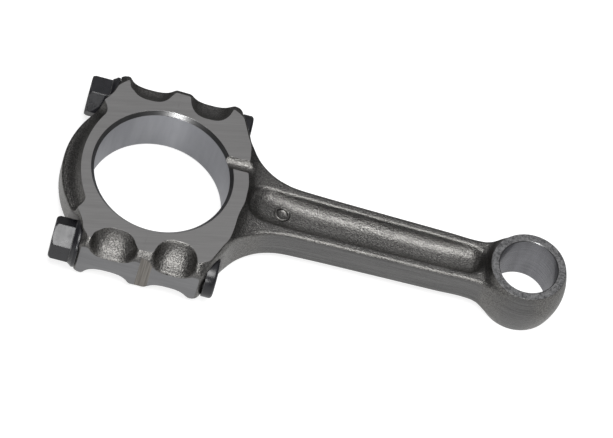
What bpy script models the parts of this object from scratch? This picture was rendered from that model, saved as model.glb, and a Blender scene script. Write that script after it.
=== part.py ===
"""Connecting rod of a car engine: forged rod, bearing cap, two bolts, two flanged nuts.

The rod lies flat, +X from the crank end to the piston-pin end, +Z up along both bores.
Outlines are in millimetres measured from the centre of the crank bore.
"""
import math

import bmesh
import bpy
from mathutils import Vector

MM = 0.001

# --- driving dimensions, millimetres ---------------------------------------------------
CENTRE_DISTANCE = 150.0      # crank bore to pin bore
BIG_BORE_RADIUS = 27.15
SMALL_BORE_RADIUS = 11.85
HALF_WIDTH = 12.0            # half the width between the ground thrust faces
BORE_CHAMFER = 1.4
PIN_BORE_CHAMFER = 0.5
SIDE_WALL = 41.5             # |y| of the machined side walls of the crank end
POCKET_LEDGE = 5.0           # |z| where the forged side pockets run out into the wall
CROWN_RADIUS = 39.2          # outside of the cap
SMALL_END_FACE_RADIUS = 15.2
SMALL_END_WAIST_RADIUS = 17.2
SPLIT_GAP = 0.05             # each half stands this far back from the joint plane

BOLT_OFFSET = 34.5           # |y| of both bolt axes
BOLT_RADIUS = 5.0
HOLE_CLEARANCE = 0.06
BOLT_END = -35.3             # x of the threaded end
HEAD_SEAT = 26.3             # x of the spot face under the bolt head
HEAD_OUTER = 30.8
HEAD_RADIUS = 8.25
HEAD_SPOT_RADIUS = 9.6
NUT_SEAT = -24.7             # x of the spot face under the nut
NUT_HEX_START = -27.6
NUT_OUTER = -35.8
NUT_ACROSS_FLATS = 15.0
NUT_FLANGE_RADIUS = 9.8
NUT_SPOT_RADIUS = 12.4
FIT_GAP = 0.05               # nut to cap, bolt head to rod

GROOVE_Y = 12.4              # oil groove across the upper thrust face
GROOVE_RADIUS = 3.25
GROOVE_DEPTH = 1.6
FORGING_MARK_X = 50.3        # small raised ring in the web
WEB_HALF = 2.3

BIG_END_X = -64.0            # the whole part is centred on the origin
Z_MID = HALF_WIDTH

# Half outlines of the crank end from the joint plane outwards, left side (+Y).  Each row is
# x, y on the thrust face, x, y at the ledge, and how dished the skin is between the two
# (0: rounded rib, 1: hollow pocket).
CAP_OUTLINE = [
    (0.0, 39.0, 0.0, 41.5, 0.0), (-1.8, 38.7, -1.8, 41.5, 0.0), (-3.1, 37.2, -3.4, 41.5, 0.5),
    (-4.2, 35.0, -4.6, 41.5, 1.0), (-5.9, 33.2, -6.2, 41.5, 1.0), (-8.4, 32.1, -8.6, 41.5, 1.0),
    (-11.4, 31.7, -11.6, 41.5, 1.0), (-14.6, 32.0, -14.6, 41.5, 1.0),
    (-17.2, 33.3, -17.0, 41.5, 1.0), (-18.9, 35.4, -18.6, 41.5, 1.0),
    (-20.0, 37.5, -19.8, 41.5, 0.5), (-21.4, 38.7, -21.4, 41.5, 0.0),
    (-23.2, 38.6, -23.2, 41.5, 0.0), (-24.6, 37.4, -24.9, 41.0, 0.0),
    (-25.6, 34.5, -27.0, 36.5, 0.3), (-26.8, 30.2, -29.5, 31.5, 0.3),
    (-27.9, 26.6, -31.0, 28.0, 0.3), (-27.9, 25.0, -31.3, 25.7, 0.5),
    (-26.6, 23.3, -31.5, 23.6, 0.8), (-26.3, 21.8, -32.3, 22.2, 1.0),
    (-27.2, 19.7, -33.3, 20.7, 1.0), (-28.9, 16.8, -34.9, 17.8, 1.0),
    (-30.6, 12.6, -36.9, 13.2, 1.0), (-31.9, 6.6, -38.6, 6.8, 1.0),
    (-32.3, 0.0, -CROWN_RADIUS, 0.0, 1.0),
]
ROD_OUTLINE = [
    (0.0, 39.0, 0.0, 41.5, 0.0), (2.3, 38.8, 2.2, 41.5, 0.0), (4.1, 37.3, 4.2, 41.5, 0.5),
    (5.4, 35.2, 5.6, 41.5, 1.0), (7.0, 33.2, 7.2, 41.5, 1.0), (9.3, 31.5, 9.4, 41.5, 1.0),
    (12.0, 30.6, 12.0, 41.5, 1.0), (15.0, 30.4, 14.8, 41.5, 1.0), (17.8, 31.4, 17.6, 41.5, 1.0),
    (19.8, 33.4, 19.5, 41.5, 1.0), (21.0, 35.8, 20.9, 41.5, 0.6), (22.3, 37.5, 22.3, 41.5, 0.0),
    (24.2, 37.7, 24.2, 41.5, 0.0), (25.5, 36.7, 25.6, 40.6, 0.0), (26.6, 34.4, 27.0, 38.0, 0.0),
    (28.0, 31.3, 28.6, 34.0, 0.0), (29.8, 27.8, 30.4, 29.5, 0.0), (31.4, 24.6, 32.2, 25.4, 0.0),
    (32.5, 21.5, 33.5, 21.5, 0.0), (32.6, 18.0, 34.0, 18.0, 0.0), (32.5, 14.6, 34.5, 14.0, 0.0),
    (33.0, 9.5, 35.0, 9.0, 0.0), (34.0, 5.5, 36.0, 5.0, 0.0), (34.6, 0.0, 36.5, 0.0, 0.0),
]
# Height above the middle plane, then how far rib and pocket skin have moved out by there.
SKIN_LEVELS = [(HALF_WIDTH, 0.0, 0.0), (10.9, 0.62, 0.03), (9.3, 1.0, 0.10), (7.0, 1.0, 0.28),
               (5.6, 1.0, 0.58), (POCKET_LEDGE, 1.0, 1.0)]

# Shoulders and beam: x, half breadth, half depth.
BEAM_STATIONS = [
    (24.0, 26.0, 11.0), (30.0, 24.8, 11.0), (33.0, 22.7, 10.8), (35.0, 20.5, 10.2),
    (37.0, 18.6, 9.4), (39.5, 16.7, 8.7), (42.0, 15.2, 8.2), (45.0, 13.7, 7.9),
    (48.5, 12.6, 7.6), (52.0, 11.8, 7.5), (56.0, 11.4, 7.45), (60.0, 11.25, 7.4),
    (90.0, 10.6, 7.2), (118.0, 10.1, 7.05), (129.0, 9.85, 7.0), (132.0, 10.1, 7.1),
    (134.0, 10.6, 7.3), (136.0, 11.3, 7.8), (138.0, 12.1, 8.4), (141.0, 12.7, 8.6),
]
BEAM_CORNER = 1.6
# Beam recess: z, x of both ends, half breadth at both ends.
RECESS_LEVELS = [
    (WEB_HALF, 44.0, 126.5, 4.6, 3.9), (3.0, 41.5, 129.0, 6.1, 5.2), (4.4, 39.6, 130.8, 7.0, 6.0),
    (7.6, 37.2, 132.6, 7.9, 6.7), (14.0, 36.0, 133.6, 8.6, 7.2),
]


def clear_scene():
    for obj in list(bpy.data.objects):
        bpy.data.objects.remove(obj, do_unlink=True)


def new_collection(name):
    collection = bpy.data.collections.new(name)
    bpy.context.scene.collection.children.link(collection)
    return collection


def steel(name, colour, metallic, roughness):
    material = bpy.data.materials.new(name)
    material.use_nodes = True
    shader = material.node_tree.nodes["Principled BSDF"]
    shader.inputs["Base Color"].default_value = (*colour, 1.0)
    shader.inputs["Metallic"].default_value = metallic
    shader.inputs["Roughness"].default_value = roughness
    return material


def object_from(name, bm, collection, material=None):
    """Turn a bmesh drawn in millimetres about the crank bore into an object in place."""
    bmesh.ops.recalc_face_normals(bm, faces=bm.faces)
    for vert in bm.verts:
        vert.co = Vector(((vert.co.x + BIG_END_X) * MM, vert.co.y * MM, (vert.co.z + Z_MID) * MM))
    mesh = bpy.data.meshes.new(name)
    bm.to_mesh(mesh)
    bm.free()
    obj = bpy.data.objects.new(name, mesh)
    collection.objects.link(obj)
    if material is not None:
        mesh.materials.append(material)
    return obj


def loft(rings):
    """Closed solid through rings of the same number of points."""
    bm = bmesh.new()
    rows = [[bm.verts.new(point) for point in ring] for ring in rings]
    count = len(rows[0])
    for lower, upper in zip(rows, rows[1:]):
        for i in range(count):
            j = (i + 1) % count
            bm.faces.new((lower[i], lower[j], upper[j], upper[i]))
    bm.faces.new(rows[0][::-1])
    bm.faces.new(rows[-1])
    return bm


def turned(profile, centre, axis, segments):
    """Solid of revolution; the profile is (radius, distance along the axis)."""
    bm = bmesh.new()
    axis = Vector(axis)
    side = Vector((0.0, 0.0, 1.0)) if abs(axis.z) < 0.5 else Vector((0.0, 1.0, 0.0))
    verts = [bm.verts.new(Vector(centre) + axis * along + side * radius) for radius, along in profile]
    edges = [bm.edges.new(pair) for pair in zip(verts, verts[1:])]
    bmesh.ops.spin(bm, geom=verts + edges, cent=centre, axis=axis, angle=2.0 * math.pi,
                   steps=segments, use_merge=True)
    bmesh.ops.remove_doubles(bm, verts=bm.verts, dist=1e-5)
    return bm


def boolean(obj, other, operation):
    modifier = obj.modifiers.new(other.name, "BOOLEAN")
    modifier.object = other
    modifier.operation = operation
    modifier.solver = "EXACT"
    other.hide_render = True
    other.display_type = "WIRE"


def crank_end_rings(outline):
    """Horizontal slices of one half of the crank end, bottom to top."""
    sign = 1.0 if outline[-1][0] > 0.0 else -1.0

    def ring(z, rib, pocket):
        half = []
        for x_face, y_face, x_wall, y_wall, dish in outline:
            out = rib * (1.0 - dish) + pocket * dish
            x = x_face + (x_wall - x_face) * out
            half.append((sign * max(SPLIT_GAP, sign * x), y_face + (y_wall - y_face) * out))
        other = [(x, -y) for x, y in reversed(half[:-1])]
        return [(x, y, z) for x, y in half + other]

    top = [ring(z, rib, pocket) for z, rib, pocket in SKIN_LEVELS]
    bottom = [[(x, y, -z) for x, y, z in slab] for slab in top]
    return bottom + top[::-1]


def beam_ring(x, half_breadth, half_depth):
    points = []
    for quadrant in range(4):
        y0 = (half_breadth - BEAM_CORNER) * (1.0 if quadrant in (0, 3) else -1.0)
        z0 = (half_depth - BEAM_CORNER) * (1.0 if quadrant in (0, 1) else -1.0)
        for step in range(3):
            angle = math.radians(90.0 * quadrant + 45.0 * step)
            points.append((x, y0 + BEAM_CORNER * math.cos(angle), z0 + BEAM_CORNER * math.sin(angle)))
    return points


def recess_ring(z, x_start, x_end, half_start, half_end):
    points = []
    for step in range(13):
        angle = math.radians(90.0 + 15.0 * step)
        points.append((x_start + half_start * (1.0 + math.cos(angle)), half_start * math.sin(angle), z))
    for step in range(13):
        angle = math.radians(-90.0 + 15.0 * step)
        points.append((x_end - half_end * (1.0 - math.cos(angle)), half_end * math.sin(angle), z))
    return points


def bore_profile(radius, chamfer):
    outer = radius + chamfer + 1.0
    return [(0.0, -HALF_WIDTH - 1.0), (outer, -HALF_WIDTH - 1.0), (radius, chamfer - HALF_WIDTH),
            (radius, HALF_WIDTH - chamfer), (outer, HALF_WIDTH + 1.0), (0.0, HALF_WIDTH + 1.0)]


def flip(ring):
    return [(x, y, -z) for x, y, z in ring]


clear_scene()
part = new_collection("connecting_rod")
tools = new_collection("construction")

# --- rod forging -----------------------------------------------------------------------
rod = object_from("rod_forging", loft([beam_ring(*row) for row in BEAM_STATIONS]), part,
                  steel("forged_steel_rod", (0.16, 0.155, 0.15), 0.9, 0.45))
recess_rings = [recess_ring(*row) for row in RECESS_LEVELS]
for side, rings in (("upper", recess_rings), ("lower", [flip(ring) for ring in recess_rings])):
    boolean(rod, object_from("recess_" + side, loft(rings), tools), "DIFFERENCE")
boolean(rod, object_from("crank_end_half", loft(crank_end_rings(ROD_OUTLINE)), tools), "UNION")
pin_boss = turned([(0.0, -HALF_WIDTH), (SMALL_END_FACE_RADIUS - 0.5, -HALF_WIDTH),
                   (SMALL_END_FACE_RADIUS, 0.6 - HALF_WIDTH), (SMALL_END_WAIST_RADIUS - 0.3, -3.0),
                   (SMALL_END_WAIST_RADIUS, 0.0), (SMALL_END_WAIST_RADIUS - 0.3, 3.0),
                   (SMALL_END_FACE_RADIUS, HALF_WIDTH - 0.6),
                   (SMALL_END_FACE_RADIUS - 0.5, HALF_WIDTH), (0.0, HALF_WIDTH)],
                  (CENTRE_DISTANCE, 0.0, 0.0), (0.0, 0.0, 1.0), 72)
boolean(rod, object_from("pin_boss", pin_boss, tools), "UNION")
mark = turned([(1.9, 0.0), (2.75, 0.0), (2.75, 1.15), (2.5, 1.4), (2.15, 1.4), (1.9, 1.15), (1.9, 0.0)],
              (FORGING_MARK_X, 0.0, WEB_HALF - 1.0), (0.0, 0.0, 1.0), 32)
boolean(rod, object_from("forging_mark", mark, tools), "UNION")

# --- bearing cap -----------------------------------------------------------------------
cap = object_from("bearing_cap", loft(crank_end_rings(CAP_OUTLINE)), part,
                  steel("forged_steel_cap", (0.17, 0.165, 0.16), 0.9, 0.42))

# --- machining shared by both ----------------------------------------------------------
crank_bore = object_from("crank_bore", turned(bore_profile(BIG_BORE_RADIUS, BORE_CHAMFER),
                                              (0.0, 0.0, 0.0), (0.0, 0.0, 1.0), 120), tools)
boolean(rod, crank_bore, "DIFFERENCE")
boolean(cap, crank_bore, "DIFFERENCE")
pin_bore = turned(bore_profile(SMALL_BORE_RADIUS, PIN_BORE_CHAMFER),
                  (CENTRE_DISTANCE, 0.0, 0.0), (0.0, 0.0, 1.0), 64)
boolean(rod, object_from("pin_bore", pin_bore, tools), "DIFFERENCE")
groove = turned([(0.0, 0.0), (GROOVE_RADIUS, 0.0), (GROOVE_RADIUS, 14.0), (0.0, 14.0)],
                (23.0, GROOVE_Y, HALF_WIDTH + GROOVE_RADIUS - GROOVE_DEPTH), (1.0, 0.0, 0.0), 32)
boolean(rod, object_from("oil_groove", groove, tools), "DIFFERENCE")

hex_radius = NUT_ACROSS_FLATS / math.sqrt(3.0)
for side, y in (("left", BOLT_OFFSET), ("right", -BOLT_OFFSET)):
    # Each bolt hole and the spot face at its mouth are one stepped tool.
    for obj, end, seat, spot in ((rod, 50.0, HEAD_SEAT, HEAD_SPOT_RADIUS),
                                 (cap, -50.0, NUT_SEAT, NUT_SPOT_RADIUS)):
        hole_radius = BOLT_RADIUS + HOLE_CLEARANCE
        start = math.copysign(2.0, -end)
        stepped = turned([(0.0, start), (hole_radius, start), (hole_radius, seat), (spot, seat),
                          (spot, end), (0.0, end)], (0.0, y, 0.0), (1.0, 0.0, 0.0), 48)
        boolean(obj, object_from("%s_bolt_hole_%s" % (obj.name, side), stepped, tools), "DIFFERENCE")

    # Bolt: shank through rod and cap, round head on the rod's shoulder.
    head_in = HEAD_SEAT + FIT_GAP
    profile = [(0.0, BOLT_END), (BOLT_RADIUS - 0.8, BOLT_END), (BOLT_RADIUS, BOLT_END + 0.8),
               (BOLT_RADIUS, head_in), (HEAD_RADIUS, head_in), (HEAD_RADIUS, HEAD_OUTER - 0.8),
               (HEAD_RADIUS - 0.8, HEAD_OUTER), (0.0, HEAD_OUTER)]
    object_from("rod_bolt_" + side, turned(profile, (0.0, y, 0.0), (1.0, 0.0, 0.0), 32), part,
                steel("bolt_steel_" + side, (0.05, 0.05, 0.06), 0.8, 0.35))

    # Flanged nut: turned flange, hexagon with chamfered corners, plain bore.
    seat = NUT_SEAT - FIT_GAP
    nut = object_from("rod_nut_" + side,
                      turned([(0.0, seat), (NUT_FLANGE_RADIUS - 0.3, seat), (NUT_FLANGE_RADIUS, seat - 0.3),
                              (NUT_FLANGE_RADIUS, seat - 1.4), (hex_radius + 0.1, NUT_HEX_START + 0.2),
                              (hex_radius + 0.1, NUT_OUTER + 1.0), (hex_radius - 0.9, NUT_OUTER),
                              (0.0, NUT_OUTER)], (0.0, y, 0.0), (1.0, 0.0, 0.0), 48), part,
                      steel("nut_steel_" + side, (0.04, 0.04, 0.05), 0.8, 0.35))
    for face in range(6):
        turn = math.radians(60.0 * face + 20.0)
        across = Vector((0.0, math.cos(turn), math.sin(turn)))
        along = Vector((0.0, -math.sin(turn), math.cos(turn)))
        corners = []
        for reach, width in ((0.0, -8.0), (0.0, 8.0), (6.0, 8.0), (6.0, -8.0)):
            corners.append(across * (NUT_ACROSS_FLATS / 2.0 + reach) + along * width + Vector((0.0, y, 0.0)))
        flat = loft([[(x, c.y, c.z) for c in corners] for x in (NUT_OUTER - 1.0, NUT_HEX_START)])
        boolean(nut, object_from("flat_%s_%d" % (side, face + 1), flat, tools), "DIFFERENCE")
    nut_bore = turned([(0.0, NUT_OUTER - 1.0), (BOLT_RADIUS + 1.4, NUT_OUTER - 1.0),
                       (BOLT_RADIUS + HOLE_CLEARANCE, NUT_OUTER + 0.34),
                       (BOLT_RADIUS + HOLE_CLEARANCE, NUT_SEAT + 1.0), (0.0, NUT_SEAT + 1.0)],
                      (0.0, y, 0.0), (1.0, 0.0, 0.0), 32)
    boolean(nut, object_from("nut_bore_" + side, nut_bore, tools), "DIFFERENCE")
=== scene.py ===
"""Looks of the connecting rod: forged skin, ground faces, honed bores, oxide-black bolts and nuts."""
import math

import bmesh
import bpy
import numpy as np
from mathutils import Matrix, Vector


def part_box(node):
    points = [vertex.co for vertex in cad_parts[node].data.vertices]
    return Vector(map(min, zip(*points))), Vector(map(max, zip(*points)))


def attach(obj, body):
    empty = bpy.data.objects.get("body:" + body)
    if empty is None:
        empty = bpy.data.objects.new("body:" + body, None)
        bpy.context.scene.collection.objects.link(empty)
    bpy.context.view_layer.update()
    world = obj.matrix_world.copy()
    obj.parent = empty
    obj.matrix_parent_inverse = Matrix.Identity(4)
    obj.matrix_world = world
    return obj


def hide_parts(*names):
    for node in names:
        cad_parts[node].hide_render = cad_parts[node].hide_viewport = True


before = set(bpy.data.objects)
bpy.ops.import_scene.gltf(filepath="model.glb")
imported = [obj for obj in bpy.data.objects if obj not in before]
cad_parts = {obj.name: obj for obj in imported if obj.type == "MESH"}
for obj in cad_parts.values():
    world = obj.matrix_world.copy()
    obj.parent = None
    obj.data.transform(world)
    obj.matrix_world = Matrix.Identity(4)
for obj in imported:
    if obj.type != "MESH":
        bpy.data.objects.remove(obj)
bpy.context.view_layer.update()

MM = 0.001

# --- sizes, millimetres, about the crank bore's centre at mid width ---------------------
ROD_LOW, ROD_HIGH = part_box("rod_forging")
BIG_X = ROD_LOW.x / MM - 0.05               # crank bore axis in the row frame
SPLIT_GAP = 0.006                           # each half stands this far back from the split
HALF_WIDTH = (ROD_HIGH.z - ROD_LOW.z) / 2 / MM
MID_Z = (ROD_HIGH.z + ROD_LOW.z) / 2 / MM
SIDE_WALL = (ROD_HIGH.y - ROD_LOW.y) / 2 / MM
EYE_X = 150.0
EYE_WAIST = ROD_HIGH.x / MM - BIG_X - EYE_X
EYE_FACE = 15.2                             # the eye is barrelled: narrower at its faces
BIG_BORE, BIG_CHAMFER = 27.15, 1.4
PIN_BORE, PIN_CHAMFER = 11.85, 0.3
CROWN = 39.2
LEFT_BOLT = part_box("rod_bolt_left")
BOLT_Y = (LEFT_BOLT[0].y + LEFT_BOLT[1].y) / 2 / MM
BOLT_R = 5.0
BOLT_END = LEFT_BOLT[0].x / MM - BIG_X
HEAD_OUTER = LEFT_BOLT[1].x / MM - BIG_X
HEAD_R = (LEFT_BOLT[1].z - LEFT_BOLT[0].z) / 2 / MM
HEAD_SEAT = 26.3
HEAD_SPOT_R = 9.6
LEFT_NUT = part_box("rod_nut_left")
NUT_OUTER = LEFT_NUT[0].x / MM - BIG_X
NUT_SEAT = LEFT_NUT[1].x / MM - BIG_X
FLANGE_R = (LEFT_NUT[1].y - LEFT_NUT[0].y) / 2 / MM
HEX_START = -27.6
ACROSS_FLATS = 15.0
NUT_SPOT_R = 11.6
WEB_HALF = 2.3
RECESS_START, RECESS_END = 43.6, 127.2      # centres of the recess's rounded ends
ROD_POCKET = (12.95, 8.85, 13.1)            # position along the rod, half length, reach inwards
CAP_POCKET = (-11.6, 9.1, 11.9)
POCKET_Y, POCKET_Z, POCKET_DEPTH = 43.0, 14.0, 9.1
OIL_GROOVE_Y, OIL_GROOVE_Z, OIL_GROOVE_R = 12.4, 13.65, 3.25
MARK_X, MARK_R = 50.3, 2.7                  # raised ring in the recess
SCOOP_X, SCOOP_DEPTH, SCOOP_R = -0.5, 1.1, 14.0
PITCH = 1.0
THREAD_DEPTH = 0.58
THREAD_SEGMENTS = 72
HOLE_GAP = 0.06                             # between a bolt and its hole
SEAT_GAP = 0.05                             # between a head or nut and its seat
VOXEL = 0.5


# --- implicit shapes --------------------------------------------------------------------
def blend_min(a, b, k):
    h = np.maximum(k - np.abs(a - b), 0.0) / k
    return np.minimum(a, b) - h * h * k * 0.25


def blend_max(a, b, k):
    return -blend_min(-a, -b, k)


def corner(a, b, r):
    """Intersection of two half spaces with an outside corner of radius r."""
    return (np.minimum(np.maximum(a, b) + r, 0.0)
            + np.hypot(np.maximum(a + r, 0.0), np.maximum(b + r, 0.0)) - r)


def smooth_step(v, low, high):
    t = np.clip((v - low) / (high - low), 0.0, 1.0)
    return t * t * (3.0 - 2.0 * t)


def forged_pocket(x, ay, az, size):
    """Dished pocket in the side of the crank end: below zero inside."""
    place_x, half, reach = size
    across = np.abs((x - place_x) / half)
    inwards = np.hypot((ay - POCKET_Y) / reach, (az - POCKET_Z) / POCKET_DEPTH)
    return ((across ** 2.7 + inwards ** 2.7) ** (1.0 / 2.7) - 1.0) * 9.0


def curve(xs, ys):
    """Smooth function through the given stations, level at both ends."""
    xs, ys = np.array(xs, float), np.array(ys, float)
    slope = np.gradient(ys, xs)
    slope[0] = slope[-1] = 0.0
    fine = np.linspace(xs[0], xs[-1], 600)
    i = np.clip(np.searchsorted(xs, fine, side="right") - 1, 0, len(xs) - 2)
    span = xs[i + 1] - xs[i]
    t = (fine - xs[i]) / span
    value = ((2 * t**3 - 3 * t**2 + 1) * ys[i] + (t**3 - 2 * t**2 + t) * span * slope[i]
             + (3 * t**2 - 2 * t**3) * ys[i + 1] + (t**3 - t**2) * span * slope[i + 1])
    return lambda x: np.interp(x, fine, value)


beam_breadth = curve(
    (24, 30, 33, 35, 37, 39.5, 42, 45, 48.5, 52, 56, 60, 90, 118, 129, 132, 134, 136, 138, 141),
    (26, 24.8, 22.7, 20.5, 18.6, 16.7, 15.2, 13.7, 12.6, 11.8, 11.4, 11.25, 10.6, 10.1, 9.85,
     10.1, 10.6, 11.3, 12.1, 12.7))
beam_depth = curve(
    (24, 30, 33, 35, 37, 39.5, 42, 45, 48.5, 56, 60, 90, 118, 129, 132, 134, 136, 138, 141),
    (11, 11, 10.8, 10.2, 9.4, 8.7, 8.2, 7.9, 7.6, 7.45, 7.4, 7.2, 7.05, 7.0, 7.1, 7.3, 7.8, 8.4, 8.6))


def crank_end(x, ay, az, plan, pocket_size):
    """Ribbed block beside the crank bore: rounded ribs with a forged pocket between them."""
    side = ay - SIDE_WALL - 0.15
    rounding = 1.2 + np.interp(x, (-23.0, 1.0, 23.0), (2.8, 4.4, 5.0)) * smooth_step(ay, 34.0, 39.0)
    ribs = corner(blend_max(side, plan, 2.0), az - HALF_WIDTH - 0.25, rounding)
    return blend_max(ribs, -forged_pocket(x, ay, az, pocket_size), 1.3)


def web_rise(x):
    """The recess floor climbs gently towards both ends of the beam."""
    at_crank = 3.1 * np.clip((66.0 - x) / 24.0, 0.0, 1.5) ** 2
    at_eye = 1.8 * np.clip((x - 112.0) / 18.0, 0.0, 1.0) ** 2
    return at_crank + at_eye


def rod_field(x, y, z):
    """Rod: ribbed block, I-section beam with a recess in each face, oil groove and pin eye."""
    ay, az = np.abs(y), np.abs(z)
    lift = 1.1 * (1.0 - smooth_step(az, 8.5, 12.3))
    right = 0.92 * x + 0.392 * ay - 38.46 - lift
    front = x - 32.5 - 2.1 / (1.0 + (ay / 8.0) ** 4) - lift
    ribs = crank_end(x, ay, az, blend_max(right, front, 3.0), ROD_POCKET)
    ribs = np.maximum(ribs, -1.5 - x)
    beam = corner(ay - beam_breadth(x), az - beam_depth(x), 1.2)
    beam = blend_max(beam, np.maximum(20.0 - x, x - 145.0), 1.0)
    body = blend_min(ribs, beam, 3.0)

    middle = np.clip(x, RECESS_START, RECESS_END)
    beyond = smooth_step(np.abs(x - middle), 0.0, 8.0)
    half = np.interp(middle, (RECESS_START, RECESS_END), (7.9, 6.7))
    wall = np.hypot(x - middle, y) - half + (7.4 - np.minimum(az, 8.0)) * (0.2 + 0.85 * beyond)
    dish = 0.35 * (1.0 - smooth_step(np.hypot(x - MARK_X, y), 1.3, 2.3)) * (z > 0.0)
    floor_level = WEB_HALF + web_rise(x) - dish
    body = blend_max(body, -blend_max(wall, floor_level - az, 4.9), 0.8)

    groove = np.hypot(y - OIL_GROOVE_Y, z - OIL_GROOVE_Z) - OIL_GROOVE_R
    groove = np.maximum(groove, np.maximum(20.0 - x, x - 38.0))
    body = blend_max(body, -groove, 0.5)

    waist = EYE_FACE + (EYE_WAIST - EYE_FACE) * (1.0 - (np.minimum(az, 12.0) / 12.0) ** 1.8)
    eye = corner(np.hypot(x - EYE_X, y) - waist, az - HALF_WIDTH - 0.3, 0.6)
    return blend_min(body, eye, 3.0)


def cap_field(x, y, z):
    """Cap: ribbed block and crown band, with a channel round the crown in each face."""
    ay, az = np.abs(y), np.abs(z)
    lift = 1.5 * (1.0 - smooth_step(az, 8.0, 12.3))
    left = -0.959 * x + 0.2826 * ay - 34.22 - lift
    ribs = crank_end(x, ay, az, left, CAP_POCKET)
    rho = np.hypot(x, y)
    disc = corner(rho - CROWN + 2.6 * smooth_step(x, -16.0, -3.0), az - HALF_WIDTH - 0.6, 1.0)
    body = blend_max(blend_min(ribs, disc, 2.0), -forged_pocket(x, ay, az, CAP_POCKET), 1.3)
    turn = np.arctan2(ay, -x)
    past = np.maximum(turn - 0.61, 0.0) * 36.0
    middle = 40.3 + 1.3 * np.minimum(turn / 0.61, 1.4) ** 2
    section = ((rho - middle) / 8.0) ** 2 + ((az - 13.0) / 8.0) ** 2
    channel = ((section ** 1.25 + (past / 4.5) ** 2.5) ** 0.4 - 1.0) * 8.0
    body = blend_max(body, -channel, 0.8)
    return np.maximum(body, x - 1.5)


def isosurface(field, low, high, step):
    """Vertices and quads of the zero level of a field, by surface nets."""
    axes = [np.arange(a, b, step) for a, b in zip(low, high)]
    values = np.concatenate([
        field(*np.meshgrid(axes[0][i:i + 24], axes[1], axes[2], indexing="ij")).astype(np.float32)
        for i in range(0, len(axes[0]), 24)])
    inside = values < 0.0
    shape = np.array(inside.shape)
    cells, points, quads = [], [], []
    for axis in range(3):
        first = [slice(None)] * 3
        second = [slice(None)] * 3
        first[axis], second[axis] = slice(None, -1), slice(1, None)
        crossing = np.argwhere(inside[tuple(first)] != inside[tuple(second)])
        ahead = crossing.copy()
        ahead[:, axis] += 1
        v0, v1 = values[tuple(crossing.T)], values[tuple(ahead.T)]
        point = crossing.astype(float)
        point[:, axis] += v0 / (v0 - v1)
        u, v = (axis + 1) % 3, (axis + 2) % 3
        ring = []
        for du, dv in ((-1, -1), (0, -1), (0, 0), (-1, 0)):
            cell = crossing.copy()
            cell[:, u] += du
            cell[:, v] += dv
            ids = np.ravel_multi_index(cell.T, shape)
            ring.append(ids)
            cells.append(ids)
            points.append(point)
        ring = np.stack(ring, axis=1)
        leaving = v0 < 0.0
        quads.append(np.where(leaving[:, None], ring, ring[:, ::-1]))
    cells, points, quads = map(np.concatenate, (cells, points, quads))
    ids, where = np.unique(cells, return_inverse=True)
    total = np.bincount(where)
    verts = np.stack([np.bincount(where, points[:, a]) / total for a in range(3)], axis=1)
    verts = verts * step + np.array([a[0] for a in axes])
    quads = np.searchsorted(ids, quads)
    reach = 0.4 * step
    for _ in range(3):                      # draw the vertices onto the level itself
        x, y, z = verts.T
        level = field(x, y, z)
        h = 0.05
        slope = np.stack([field(x + h, y, z) - field(x - h, y, z), field(x, y + h, z) - field(x, y - h, z),
                          field(x, y, z + h) - field(x, y, z - h)], axis=1) / (2.0 * h)
        size = np.maximum((slope**2).sum(axis=1), 0.05)
        move = -slope * (level / size)[:, None]
        length = np.maximum(np.linalg.norm(move, axis=1), 1e-9)
        verts = verts + move * np.minimum(1.0, reach / length)[:, None]
    return verts, quads


# --- mesh helpers -----------------------------------------------------------------------
def place(verts):
    return (np.asarray(verts, float) + (BIG_X, 0.0, MID_Z)) * MM


def mesh_object(name, verts, faces):
    mesh = bpy.data.meshes.new(name)
    mesh.from_pydata(place(verts).tolist(), [], [list(map(int, f)) for f in faces])
    obj = bpy.data.objects.new(name, mesh)
    bpy.context.scene.collection.objects.link(obj)
    return obj


def rings_object(name, rings, closed_ends=True):
    """Skin through rings of equal count; the ends are fans to their centres."""
    rings = [np.asarray(r, float) for r in rings]
    count = len(rings[0])
    verts = np.concatenate(rings)
    faces = []
    for i in range(len(rings) - 1):
        a, b = i * count, (i + 1) * count
        for j in range(count):
            k = (j + 1) % count
            faces.append((a + j, a + k, b + k, b + j))
    verts = np.concatenate([verts, [rings[0].mean(axis=0), rings[-1].mean(axis=0)]])
    start, end, last = len(verts) - 2, len(verts) - 1, (len(rings) - 1) * count
    for j in range(count):
        k = (j + 1) % count
        faces.append((k, j, start))
        faces.append((last + j, last + k, end))
    return mesh_object(name, verts, faces)


def outward(obj):
    bm = bmesh.new()
    bm.from_mesh(obj.data)
    bmesh.ops.recalc_face_normals(bm, faces=bm.faces)
    if bm.calc_volume(signed=True) < 0.0:
        bmesh.ops.reverse_faces(bm, faces=bm.faces)
    bm.to_mesh(obj.data)
    bm.free()
    return obj


def turned(name, profile, centre, axis, segments):
    """Solid of revolution about +X or +Z; the profile is (distance along the axis, radius)."""
    angles = np.linspace(0.0, 2.0 * math.pi, segments, endpoint=False)
    rings = []
    for along, radius in profile:
        c, s = radius * np.cos(angles), radius * np.sin(angles)
        a = np.full(segments, float(along))
        columns = (a, c, s) if axis == "X" else (c, s, a)
        rings.append(np.stack(columns, axis=1) + centre)
    return outward(rings_object(name, rings))


def block(name, low, high):
    (x0, y0, z0), (x1, y1, z1) = low, high
    ring = np.array([(x0, y0), (x1, y0), (x1, y1), (x0, y1)])
    return outward(rings_object(name, [np.column_stack([ring, np.full(4, z)]) for z in (z0, z1)]))


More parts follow.
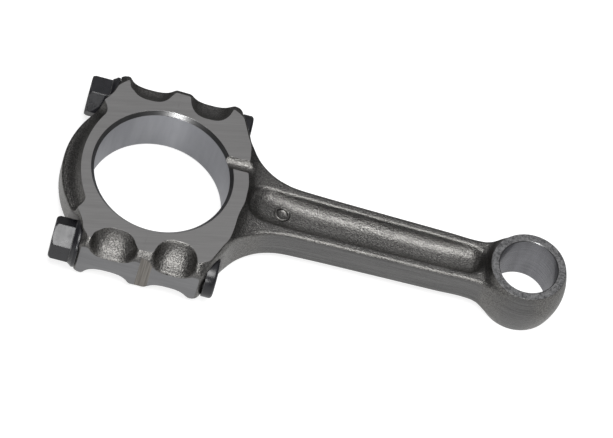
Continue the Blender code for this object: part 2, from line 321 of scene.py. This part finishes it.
def cut(obj, *tools, operation="DIFFERENCE", solver="MANIFOLD"):
    """Booleans applied to the mesh; the tools are removed."""
    for tool in tools:
        modifier = obj.modifiers.new("cut", "BOOLEAN")
        modifier.object = tool
        modifier.operation = operation
        modifier.solver = solver
    depsgraph = bpy.context.evaluated_depsgraph_get()
    result = bpy.data.meshes.new_from_object(obj.evaluated_get(depsgraph))
    obj.modifiers.clear()
    old = obj.data
    obj.data = result
    result.name = obj.name
    bpy.data.meshes.remove(old)
    for tool in tools:
        mesh = tool.data
        bpy.data.objects.remove(tool, do_unlink=True)
        bpy.data.meshes.remove(mesh)


def faces_of(mesh):
    """Centre (mm, about the crank bore) and normal of every face."""
    centre = np.empty(len(mesh.polygons) * 3)
    normal = np.empty(len(mesh.polygons) * 3)
    mesh.polygons.foreach_get("center", centre)
    mesh.polygons.foreach_get("normal", normal)
    return centre.reshape(-1, 3) / MM - (BIG_X, 0.0, MID_Z), normal.reshape(-1, 3)


def finish_mesh(obj, materials, index, crease=30.0):
    """Materials by face; smooth shading that stops at creases and where the finish changes."""
    mesh = obj.data
    mesh.materials.clear()
    for material in materials:
        mesh.materials.append(material)
    mesh.polygons.foreach_set("material_index", np.asarray(index, dtype=np.int32))
    bm = bmesh.new()
    bm.from_mesh(mesh)
    limit = math.radians(crease)
    for face in bm.faces:
        face.smooth = True
    for edge in bm.edges:
        if len(edge.link_faces) == 2:
            a, b = edge.link_faces
            edge.smooth = a.material_index == b.material_index and a.normal.angle(b.normal, 0.0) < limit
    bm.to_mesh(mesh)
    bm.free()


# --- materials --------------------------------------------------------------------------
class Nodes:
    """Short hand for building one material's node tree."""

    def __init__(self, name):
        self.material = bpy.data.materials.new(name)
        self.material.use_nodes = True
        self.tree = self.material.node_tree
        self.shader = self.tree.nodes["Principled BSDF"]
        self.position = self.tree.nodes.new("ShaderNodeTexCoord").outputs["Object"]

    def add(self, kind, inputs=None, **settings):
        node = self.tree.nodes.new(kind)
        for key, value in settings.items():
            setattr(node, key, value)
        for key, value in (inputs or {}).items():
            if isinstance(value, bpy.types.NodeSocket):
                self.tree.links.new(value, node.inputs[key])
            else:
                node.inputs[key].default_value = value
        return node

    def link(self, output, socket):
        self.tree.links.new(output, self.shader.inputs[socket])

    def stretched(self, scale, turn=0.0):
        """Object coordinates turned about Z, then scaled along the turned axes."""
        turned_by = self.add("ShaderNodeMapping", {"Vector": self.position, "Rotation": (0.0, 0.0, -turn)})
        return self.add("ShaderNodeMapping", {"Vector": turned_by.outputs["Vector"],
                                              "Scale": scale}).outputs["Vector"]

    def noise(self, vector, scale, detail=3.0, roughness=0.5):
        return self.add("ShaderNodeTexNoise", {"Vector": vector, "Scale": scale, "Detail": detail,
                                               "Roughness": roughness}).outputs["Fac"]

    def ramp(self, value, low, high, out_low, out_high):
        return self.add("ShaderNodeMapRange", {"Value": value, "From Min": low, "From Max": high,
                                               "To Min": out_low, "To Max": out_high}).outputs["Result"]

    def mix_colour(self, factor, a, b):
        node = self.add("ShaderNodeMix", data_type="RGBA")
        for socket, value in ((0, factor), (6, a), (7, b)):
            if isinstance(value, bpy.types.NodeSocket):
                self.tree.links.new(value, node.inputs[socket])
            else:
                node.inputs[socket].default_value = value if socket == 0 else (*value, 1.0)
        return node.outputs[2]

    def maths(self, operation, a, b):
        node = self.add("ShaderNodeMath", operation=operation)
        for socket, value in ((0, a), (1, b)):
            if isinstance(value, bpy.types.NodeSocket):
                self.tree.links.new(value, node.inputs[socket])
            else:
                node.inputs[socket].default_value = value
        return node.outputs[0]

    def worn_edges(self, radius):
        """One along sharp edges, broken up by a noise, and zero on the faces."""
        bevel = self.add("ShaderNodeBevel", {"Radius": radius}, samples=6).outputs["Normal"]
        flat = self.add("ShaderNodeNewGeometry").outputs["Normal"]
        agree = self.add("ShaderNodeVectorMath", {0: bevel, 1: flat},
                         operation="DOT_PRODUCT").outputs["Value"]
        patchy = self.ramp(self.noise(self.position, 500.0, 3.0, 0.6), 0.35, 0.6, 0.2, 1.0)
        return self.maths("MULTIPLY", self.ramp(agree, 0.985, 0.9, 0.0, 1.0), patchy)

    def bumps(self, edge_radius, *layers):
        """Stack of bump layers (height, strength, distance in metres) on a softened edge normal."""
        normal = self.add("ShaderNodeBevel", {"Radius": edge_radius}, samples=4).outputs["Normal"]
        for height, strength, distance in layers:
            normal = self.add("ShaderNodeBump", {"Height": height, "Strength": strength,
                                                 "Distance": distance, "Normal": normal}).outputs["Normal"]
        self.link(normal, "Normal")


def forged_skin():
    """Grainy scale with pits and waves; upright sides are drawn into fine streaks."""
    m = Nodes("forged_skin")
    grain = m.noise(m.position, 1700.0, 2.0, 0.6)
    pits = m.noise(m.position, 850.0, 3.0, 0.55)
    waves = m.noise(m.position, 110.0, 2.0, 0.5)
    cloud = m.noise(m.position, 45.0, 4.0, 0.6)
    tint = m.mix_colour(m.ramp(cloud, 0.3, 0.7, 0.0, 1.0), (0.096, 0.0935, 0.090), (0.130, 0.1275, 0.1225))
    tint = m.mix_colour(m.ramp(grain, 0.38, 0.62, 0.0, 0.75), tint, (0.255, 0.249, 0.237))
    normal = m.add("ShaderNodeNewGeometry").outputs["Normal"]
    sideways = m.add("ShaderNodeSeparateXYZ", {0: normal}).outputs["Y"]
    upright = m.ramp(m.maths("ABSOLUTE", sideways, 0.0), 0.86, 0.97, 0.0, 0.8)
    drawn = m.noise(m.stretched((45.0, 45.0, 1500.0)), 1.0, 3.0, 0.6)
    drawn = m.mix_colour(m.ramp(drawn, 0.38, 0.64, 0.0, 1.0), (0.118, 0.118, 0.118), (0.182, 0.181, 0.180))
    m.link(m.mix_colour(upright, tint, drawn), "Base Color")
    m.link(m.ramp(pits, 0.3, 0.7, 0.31, 0.41), "Roughness")
    m.shader.inputs["Metallic"].default_value = 1.0
    m.bumps(0.0002, (waves, 0.12, 0.0003), (pits, 0.4, 0.00016), (grain, 1.0, 0.00021))
    return m.material


def lined_steel(name, colour, dark, roughness, direction, strength=0.25, edge=0.00006):
    """Ground or milled steel: long fine scratches along one direction in the face."""
    m = Nodes(name)
    lines = m.noise(m.stretched((60.0, 4200.0, 600.0), direction), 1.0, 3.0, 0.6)
    broad = m.noise(m.stretched((25.0, 900.0, 200.0), direction), 1.0, 2.0, 0.5)
    cloud = m.noise(m.position, 60.0, 3.0, 0.6)
    blend = m.maths("ADD", m.maths("MULTIPLY", lines, 0.82), m.maths("MULTIPLY", broad, 0.18))
    tint = m.mix_colour(m.ramp(blend, 0.35, 0.65, 0.0, 1.0), dark, colour)
    tint = m.mix_colour(m.ramp(cloud, 0.35, 0.7, 0.0, 0.25), tint, dark)
    tint = m.mix_colour(m.maths("MULTIPLY", m.worn_edges(0.00025), 0.5), tint, (0.5, 0.495, 0.485))
    m.link(tint, "Base Color")
    m.link(m.ramp(blend, 0.3, 0.7, roughness - 0.05, roughness + 0.07), "Roughness")
    m.shader.inputs["Metallic"].default_value = 1.0
    m.bumps(edge, (lines, strength, 0.00004))
    return m.material


def honed_steel(name, low, high, rough, stretch):
    """Honed bore; the scratches run round it, so its highlights stretch along it."""
    m = Nodes(name)
    around = m.noise(m.stretched((60.0, 60.0, 4200.0)), 1.0, 2.0, 0.5)
    smears = m.noise(m.stretched((210.0, 210.0, 28.0)), 1.0, 3.0, 0.6)
    m.link(m.mix_colour(m.ramp(smears, 0.33, 0.67, 0.0, 1.0), low, high), "Base Color")
    m.link(m.ramp(around, 0.3, 0.7, rough - 0.04, rough + 0.04), "Roughness")
    m.shader.inputs["Metallic"].default_value = 1.0
    m.shader.inputs["Anisotropic"].default_value = stretch
    m.link(m.add("ShaderNodeCombineXYZ", {"Z": 1.0}).outputs[0], "Tangent")
    m.bumps(0.00005, (around, 0.15, 0.00003))
    return m.material


def sawn_steel():
    """Roughly faced end of the pin eye, with torn chips."""
    m = Nodes("eye_face")
    chips = m.noise(m.position, 900.0, 4.0, 0.65)
    grain = m.noise(m.position, 1700.0, 2.0, 0.6)
    both = m.maths("ADD", m.maths("MULTIPLY", chips, 0.6), m.maths("MULTIPLY", grain, 0.4))
    tint = m.mix_colour(m.ramp(both, 0.4, 0.6, 0.0, 1.0), (0.12, 0.12, 0.122), (0.33, 0.33, 0.33))
    m.link(tint, "Base Color")
    m.link(m.ramp(both, 0.3, 0.7, 0.38, 0.5), "Roughness")
    m.shader.inputs["Metallic"].default_value = 1.0
    m.bumps(0.0002, (chips, 0.4, 0.0001), (grain, 0.6, 0.00006))
    return m.material


def scooped_steel():
    """Cutter run-out beside the split, faintly brown."""
    m = Nodes("milled_scoop")
    lines = m.noise(m.stretched((2200.0, 300.0, 60.0)), 1.0, 2.0, 0.5)
    tint = m.mix_colour(m.ramp(lines, 0.35, 0.65, 0.0, 1.0), (0.25, 0.235, 0.215), (0.17, 0.158, 0.143))
    m.link(tint, "Base Color")
    m.link(m.ramp(lines, 0.3, 0.7, 0.3, 0.42), "Roughness")
    m.shader.inputs["Metallic"].default_value = 1.0
    m.bumps(0.0001, (lines, 0.3, 0.00005))
    return m.material


def turned_chamfer():
    """Chamfer with fine turning rings."""
    m = Nodes("turned_chamfer")
    rings = m.noise(m.stretched((40.0, 40.0, 6000.0)), 1.0, 2.0, 0.5)
    cloud = m.noise(m.position, 90.0, 3.0, 0.6)
    tint = m.mix_colour(m.ramp(cloud, 0.3, 0.7, 0.0, 1.0), (0.17, 0.17, 0.17), (0.24, 0.24, 0.24))
    m.link(tint, "Base Color")
    m.link(m.ramp(rings, 0.3, 0.7, 0.27, 0.35), "Roughness")
    m.shader.inputs["Metallic"].default_value = 1.0
    m.bumps(0.00015, (rings, 0.2, 0.00004))
    return m.material


def black_oxide():
    """Black oxide coat, worn to the metal along its edges."""
    m = Nodes("black_oxide")
    cloud = m.noise(m.position, 260.0, 4.0, 0.6)
    grain = m.noise(m.position, 2600.0, 2.0, 0.5)
    tint = m.mix_colour(m.ramp(cloud, 0.3, 0.75, 0.0, 1.0), (0.006, 0.006, 0.008), (0.016, 0.016, 0.019))
    wear = m.worn_edges(0.0003)
    m.link(m.mix_colour(wear, tint, (0.17, 0.168, 0.165)), "Base Color")
    m.link(m.ramp(cloud, 0.3, 0.7, 0.24, 0.38), "Roughness")
    m.shader.inputs["Metallic"].default_value = 0.0
    m.shader.inputs["Specular IOR Level"].default_value = 0.58
    m.bumps(0.0005, (cloud, 0.15, 0.0001), (grain, 0.3, 0.00004))
    return m.material


FORGED = forged_skin()
GROUND = lined_steel("ground_face", (0.38, 0.375, 0.367), (0.33, 0.325, 0.317), 0.34,
                     math.radians(14.0), 0.22)
TRIMMED = lined_steel("trimmed_side", (0.27, 0.27, 0.275), (0.215, 0.215, 0.22), 0.42, 0.0, 0.2)
SCOOPED = scooped_steel()
MILLED = lined_steel("milled_seat", (0.34, 0.335, 0.33), (0.26, 0.255, 0.25), 0.36, math.radians(90.0))
SAWN = sawn_steel()
HONED = honed_steel("honed_crank_bore", (0.385, 0.39, 0.415), (0.44, 0.445, 0.47), 0.40, 0.8)
HONED_PIN = honed_steel("honed_pin_bore", (0.20, 0.20, 0.212), (0.27, 0.27, 0.287), 0.28, 0.92)
CHAMFER = turned_chamfer()
OXIDE = black_oxide()
FINISHES = [FORGED, GROUND, TRIMMED, MILLED, HONED, CHAMFER, HONED_PIN, SCOOPED, SAWN]
(IS_FORGED, IS_GROUND, IS_TRIMMED, IS_MILLED, IS_HONED, IS_CHAMFER, IS_HONED_PIN, IS_SCOOPED,
 IS_SAWN) = range(9)


# --- rod and cap ------------------------------------------------------------------------
def bore_tool(name, x, radius, chamfer, segments):
    """Cutter for a bore with a 45 degree chamfer at each face."""
    reach = radius + chamfer + 2.0
    end = HALF_WIDTH + 2.0
    profile = [(-end, reach), (chamfer - HALF_WIDTH, radius), (HALF_WIDTH - chamfer, radius), (end, reach)]
    return turned(name, profile, (x, 0.0, 0.0), "Z", segments)


def bolt_tool(name, y, start, seat, spot, end):
    hole = BOLT_R + HOLE_GAP
    profile = [(start, hole), (seat, hole), (seat, spot), (end, spot)]
    return turned(name, profile, (0.0, y, 0.0), "X", 96)


def raised_ring(around, section):
    """Ring that follows the rising floor of the recess, as a closed tube."""
    tube = np.linspace(0.0, 2.0 * math.pi, section, endpoint=False)
    r = MARK_R + 0.6 * np.cos(tube)
    rings = []
    for a in np.linspace(0.0, 2.0 * math.pi, around, endpoint=False):
        x = MARK_X + r * math.cos(a)
        z = WEB_HALF + web_rise(x) + 0.25 + 0.7 * np.sin(tube)
        rings.append(np.stack([x, r * math.sin(a), z], axis=1))
    faces = []
    for i in range(around):
        here, after = i * section, (i + 1) % around * section
        for j in range(section):
            k = (j + 1) % section
            faces.append((here + j, after + j, after + k, here + k))
    return outward(mesh_object("mark", np.concatenate(rings), faces))


def thrust_tools():
    middles = [side * (HALF_WIDTH + 4) for side in (-1, 1)]
    return [block("slab", (-60, -60, z - 4), (200, 60, z + 4)) for z in middles]


def side_tools():
    middles = [side * (SIDE_WALL + 4) for side in (-1, 1)]
    return [block("side", (-60, y - 4, -16), (60, y + 4, 16)) for y in middles]


def classify(obj):
    """Which finish each face of a machined forging has."""
    centre, normal = faces_of(obj.data)
    x, y, z = centre.T
    az, nz = np.abs(z), np.abs(normal[:, 2])
    index = np.full(len(x), IS_FORGED)
    index[(np.abs(az - HALF_WIDTH) < 0.01) & (nz > 0.999)] = IS_GROUND
    index[(np.abs(np.abs(y) - SIDE_WALL) < 0.01) & (np.abs(normal[:, 1]) > 0.999)] = IS_TRIMMED
    index[(np.abs(x) < 0.2) & (np.abs(normal[:, 0]) > 0.999)] = IS_GROUND
    index[(np.abs(z) > HALF_WIDTH - 0.01) & (nz > 0.999) & (x > 100.0)] = IS_SAWN
    off_wall = np.hypot(x - SCOOP_X, y + SIDE_WALL - SCOOP_DEPTH + SCOOP_R) - SCOOP_R
    index[(np.abs(off_wall) < 0.02) & (nz < 0.01) & (y > 0.01 - SIDE_WALL)] = IS_SCOOPED
    for bore_x, radius, chamfer, wall in ((0.0, BIG_BORE, BIG_CHAMFER, IS_HONED),
                                          (EYE_X, PIN_BORE, PIN_CHAMFER, IS_HONED_PIN)):
        rho = np.hypot(x - bore_x, y)
        inward = ((x - bore_x) * normal[:, 0] + y * normal[:, 1]) / rho
        index[(rho < radius + 0.03) & (inward < -0.99)] = wall
        index[(rho < radius + chamfer + 0.1) & (np.abs(inward + 0.707) < 0.04)] = IS_CHAMFER
    for side in (-1, 1):
        rho = np.hypot(y - side * BOLT_Y, z)
        out = ((y - side * BOLT_Y) * normal[:, 1] + z * normal[:, 2]) / np.maximum(rho, 1e-6)
        seat = (np.abs(np.abs(normal[:, 0]) - 1.0) < 0.001) & (np.abs(x) > 20.0) & (rho < NUT_SPOT_R)
        seat &= (np.abs(x - HEAD_SEAT) < 0.02) | (np.abs(x - NUT_SEAT - SEAT_GAP) < 0.02)
        wall = (out < -0.98) & ((np.abs(rho - BOLT_R) < 0.2) | ((x > 0) & (np.abs(rho - HEAD_SPOT_R) < 0.05))
                                | ((x < 0) & (np.abs(rho - NUT_SPOT_R) < 0.05)))
        index[wall | seat] = IS_MILLED
    return index


verts, quads = isosurface(rod_field, (-4.0, -44.0, -14.5), (170.0, 44.5, 15.0), VOXEL)
rod = mesh_object("rod_forging_skin", verts, quads)
cut(rod, raised_ring(48, 16), operation="UNION")
scoop = turned("scoop", [(-16, SCOOP_R), (16, SCOOP_R)],
               (SCOOP_X, SCOOP_DEPTH - SCOOP_R - SIDE_WALL, 0.0), "Z", 360)
cut(rod, *thrust_tools(), *side_tools(), scoop, block("split", (-20, -60, -20), (SPLIT_GAP, 60, 20)),
    bore_tool("crank_bore", 0.0, BIG_BORE, BIG_CHAMFER, 256),
    bore_tool("pin_bore", EYE_X, PIN_BORE, PIN_CHAMFER, 160),
    *[bolt_tool("bolt", s * BOLT_Y, -2.0, HEAD_SEAT, HEAD_SPOT_R, 50.0) for s in (-1, 1)])
finish_mesh(rod, FINISHES, classify(rod))
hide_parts("rod_forging")
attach(rod, "rod")

verts, quads = isosurface(cap_field, (-42.0, -44.0, -14.5), (4.0, 44.5, 15.0), VOXEL)
cap = mesh_object("bearing_cap_skin", verts, quads)
cut(cap, *thrust_tools(), *side_tools(), block("split", (-SPLIT_GAP, -60, -20), (20, 60, 20)),
    bore_tool("crank_bore", 0.0, BIG_BORE, BIG_CHAMFER, 256),
    *[bolt_tool("bolt", s * BOLT_Y, 2.0, NUT_SEAT + SEAT_GAP, NUT_SPOT_R, -50.0) for s in (-1, 1)])
finish_mesh(cap, FINISHES, classify(cap))
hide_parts("bearing_cap")
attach(cap, "cap")


# --- bolts and nuts ---------------------------------------------------------------------
def thread_depth(x, angles, start, end):
    """How far the right-hand thread's groove cuts below the crest at each angle of a ring."""
    phase = np.mod(x / PITCH - angles / (2.0 * math.pi), 1.0)
    groove = np.clip(1.25 - 2.5 * np.abs(phase - 0.5) * 1.15, 0.0, 1.0)
    fade = np.clip((end - x) / 1.2, 0.0, 1.0) * np.clip((x - start) / 0.6 + 0.3, 0.0, 1.0)
    return THREAD_DEPTH * groove * fade


def threaded_rings(y, start, end, radius, cone=0.0):
    """Rings of a threaded rod; a cone narrows its end and lets the thread fade in there."""
    angles = np.linspace(0.0, 2.0 * math.pi, THREAD_SEGMENTS, endpoint=False)
    rings = []
    for x in np.arange(start, end, PITCH / 10.0):
        limit = radius - max(0.0, cone - (x - start))
        fade_from = start if cone else start - 5.0
        r = np.minimum(radius - thread_depth(x, angles, fade_from, end), limit)
        rings.append(np.stack([np.full(THREAD_SEGMENTS, x), y + r * np.cos(angles), r * np.sin(angles)],
                              axis=1))
    return rings


def ring_at(x, y, radius):
    angles = np.linspace(0.0, 2.0 * math.pi, THREAD_SEGMENTS, endpoint=False)
    return np.stack([np.full(THREAD_SEGMENTS, x), y + radius * np.cos(angles), radius * np.sin(angles)],
                    axis=1)


for side, sign, nut_turn in (("left", 1.0, 23.0), ("right", -1.0, 53.5)):
    y = sign * BOLT_Y
    rings = threaded_rings(y, BOLT_END, -16.0, BOLT_R, cone=0.8)
    head = [(HEAD_SEAT - 0.9, BOLT_R), (HEAD_SEAT + SEAT_GAP, BOLT_R), (HEAD_SEAT + 0.06, HEAD_R - 0.15),
            (HEAD_SEAT + 0.2, HEAD_R), (HEAD_OUTER - 1.1, HEAD_R), (HEAD_OUTER - 0.75, HEAD_R - 0.1),
            (HEAD_OUTER - 0.35, HEAD_R - 0.4), (HEAD_OUTER - 0.08, HEAD_R - 0.85), (HEAD_OUTER, HEAD_R - 1.3)]
    rings += [ring_at(x, y, r) for x, r in [(-15.9, BOLT_R)] + head]
    bolt = outward(rings_object("rod_bolt_%s_detail" % side, rings))
    finish_mesh(bolt, [OXIDE], np.zeros(len(bolt.data.polygons)), 35.0)
    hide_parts("rod_bolt_" + side)
    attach(bolt, "rod")

    hex_r = ACROSS_FLATS / math.sqrt(3.0)
    profile = [(NUT_SEAT, FLANGE_R - 0.35), (NUT_SEAT - 0.12, FLANGE_R - 0.1),
               (NUT_SEAT - 0.35, FLANGE_R), (NUT_SEAT - 1.1, FLANGE_R),
               (NUT_SEAT - 1.45, FLANGE_R - 0.15), (NUT_SEAT - 1.75, FLANGE_R - 0.5),
               (HEX_START + 0.1, hex_r + 0.05), (NUT_OUTER + 1.35, hex_r + 0.05),
               (NUT_OUTER + 0.35, hex_r - 0.7), (NUT_OUTER + 0.1, hex_r - 1.05), (NUT_OUTER, hex_r - 1.5)]
    nut = turned("rod_nut_%s_detail" % side, profile, (0.0, y, 0.0), "X", 144)
    flats = []
    for face in range(6):
        turn = math.radians(60.0 * face + nut_turn)
        across = np.array((0.0, math.cos(turn), math.sin(turn)))
        along = np.array((0.0, -math.sin(turn), math.cos(turn)))
        base = np.array((0.0, y, 0.0)) + across * ACROSS_FLATS / 2.0
        corners = [base + along * w + across * r
                   for r, w in ((0.0, -8.0), (0.0, 8.0), (6.0, 8.0), (6.0, -8.0))]
        ends = [np.array(corners) + (x, 0.0, 0.0) for x in (NUT_OUTER - 1.0, HEX_START)]
        flats.append(outward(rings_object("flat", ends)))
    cut(nut, *flats)
    mouth = turned("mouth", [(NUT_OUTER - 1.0, BOLT_R + 1.6), (NUT_OUTER + 0.65, BOLT_R - 0.05)],
                   (0.0, y, 0.0), "X", 96)
    thread = threaded_rings(y, NUT_OUTER - 1.5, NUT_SEAT + 2.5, BOLT_R + 2 * HOLE_GAP)
    cut(nut, mouth, outward(rings_object("thread", thread)))
    finish_mesh(nut, [OXIDE], np.zeros(len(nut.data.polygons)), 25.0)
    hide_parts("rod_nut_" + side)
    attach(nut, "nut_" + side)


# --- floor, light, camera ---------------------------------------------------------------
# The floor and the sky look white to the camera. What the metal reflects is darker behind
# the rod than in front of it, as with a dark card standing behind.
floor = mesh_object("floor", [(x, y, -HALF_WIDTH - 0.05) for x, y in
                              ((-3000, -3000), (3000, -3000), (3000, 3000), (-3000, 3000))],
                    [(0, 1, 2, 3)])
paper = bpy.data.materials.new("white_paper")
paper.use_nodes = True
nodes, links = paper.node_tree.nodes, paper.node_tree.links
shader = nodes["Principled BSDF"]
shader.inputs["Base Color"].default_value = (0.45, 0.45, 0.45, 1.0)
shader.inputs["Roughness"].default_value = 0.9
shader.inputs["Specular IOR Level"].default_value = 0.0
shader.inputs["Emission Color"].default_value = (1.0, 1.0, 1.0, 1.0)
shader.inputs["Emission Strength"].default_value = 0.78
bounce = nodes.new("ShaderNodeEmission")
where = nodes.new("ShaderNodeTexCoord")
parts = nodes.new("ShaderNodeSeparateXYZ")
fall = nodes.new("ShaderNodeMapRange")
fall.interpolation_type = "SMOOTHSTEP"
for key, value in (("From Min", -0.01), ("From Max", 0.055), ("To Min", 0.8), ("To Max", 0.15)):
    fall.inputs[key].default_value = value
links.new(where.outputs["Object"], parts.inputs[0])
links.new(parts.outputs["Y"], fall.inputs["Value"])
links.new(fall.outputs["Result"], bounce.inputs["Strength"])
path = nodes.new("ShaderNodeLightPath")
choose = nodes.new("ShaderNodeMixShader")
links.new(path.outputs["Is Camera Ray"], choose.inputs[0])
links.new(bounce.outputs[0], choose.inputs[1])
links.new(shader.outputs[0], choose.inputs[2])
links.new(choose.outputs[0], nodes["Material Output"].inputs["Surface"])
floor.data.materials.append(paper)


def area_light(name, towards, distance, size, power):
    light = bpy.data.lights.new(name, "AREA")
    light.shape = "RECTANGLE"
    light.size, light.size_y = size
    light.energy = power
    obj = bpy.data.objects.new(name, light)
    direction = Vector(towards).normalized()
    obj.location = direction * distance
    obj.rotation_mode = "QUATERNION"
    obj.rotation_quaternion = direction.to_track_quat("Z", "Y")
    bpy.context.scene.collection.objects.link(obj)


area_light("overhead_softbox", (0.05, -0.235, 0.97), 1.5, (0.85, 0.75), 18.5)
area_light("front_strip", (-0.06, -0.83, 0.55), 1.6, (0.22, 0.16), 6.0)

world = bpy.data.worlds.new("studio")
bpy.context.scene.world = world
world.use_nodes = True
tree = world.node_tree
background = tree.nodes["Background"]
coords = tree.nodes.new("ShaderNodeTexCoord")
split = tree.nodes.new("ShaderNodeSeparateXYZ")
tree.links.new(coords.outputs["Generated"], split.inputs[0])


def sky_factor(output, low, high, out_low, out_high):
    node = tree.nodes.new("ShaderNodeMapRange")
    tree.links.new(split.outputs[output], node.inputs["Value"])
    for key, value in (("From Min", low), ("From Max", high), ("To Min", out_low), ("To Max", out_high)):
        node.inputs[key].default_value = value
    return node.outputs["Result"]


def sky_product(first, second):
    node = tree.nodes.new("ShaderNodeMath")
    node.operation = "MULTIPLY"
    tree.links.new(first, node.inputs[0])
    tree.links.new(second, node.inputs[1])
    return node.outputs[0]


def sky_sum(first, second):
    node = tree.nodes.new("ShaderNodeMath")
    tree.links.new(first, node.inputs[0])
    tree.links.new(second, node.inputs[1])
    return node.outputs[0]


sides = sky_product(sky_factor("X", -0.75, -0.1, 0.25, 1.0), sky_factor("X", 0.15, 0.7, 1.0, 0.3))
dome = sky_product(sky_factor("Y", -1.0, 0.7, 0.10, 0.52), sky_factor("Z", 0.0, 0.8, 0.3, 1.0))
horizon = sky_product(sky_factor("Z", 0.05, 0.36, 0.4, 0.0), sky_factor("Y", -0.2, 0.3, 1.0, 0.0))
tree.links.new(sky_sum(sky_product(dome, sides), horizon), background.inputs["Strength"])
background.inputs["Color"].default_value = (1.0, 1.0, 1.03, 1.0)
paper_sweep = tree.nodes.new("ShaderNodeBackground")
seen = tree.nodes.new("ShaderNodeLightPath")
sky = tree.nodes.new("ShaderNodeMixShader")
tree.links.new(seen.outputs["Is Camera Ray"], sky.inputs[0])
tree.links.new(background.outputs[0], sky.inputs[1])
tree.links.new(paper_sweep.outputs[0], sky.inputs[2])
tree.links.new(sky.outputs[0], tree.nodes["World Output"].inputs["Surface"])
paper_sweep.inputs["Color"].default_value = (1.0, 1.0, 1.0, 1.0)

camera = bpy.data.cameras.new("camera")
camera.lens = 289.9
camera.sensor_width = 36.0
camera.clip_start, camera.clip_end = 0.05, 20.0
camera_object = bpy.data.objects.new("camera", camera)
camera_object.location = Vector((-48.7 + BIG_X, -1071.6, 1639.3 + MID_Z)) * MM
camera_object.rotation_euler = [math.radians(a) for a in (31.861, -10.552, 10.622)]
bpy.context.scene.collection.objects.link(camera_object)
bpy.context.scene.camera = camera_object
bpy.context.scene.view_settings.view_transform = "Standard"
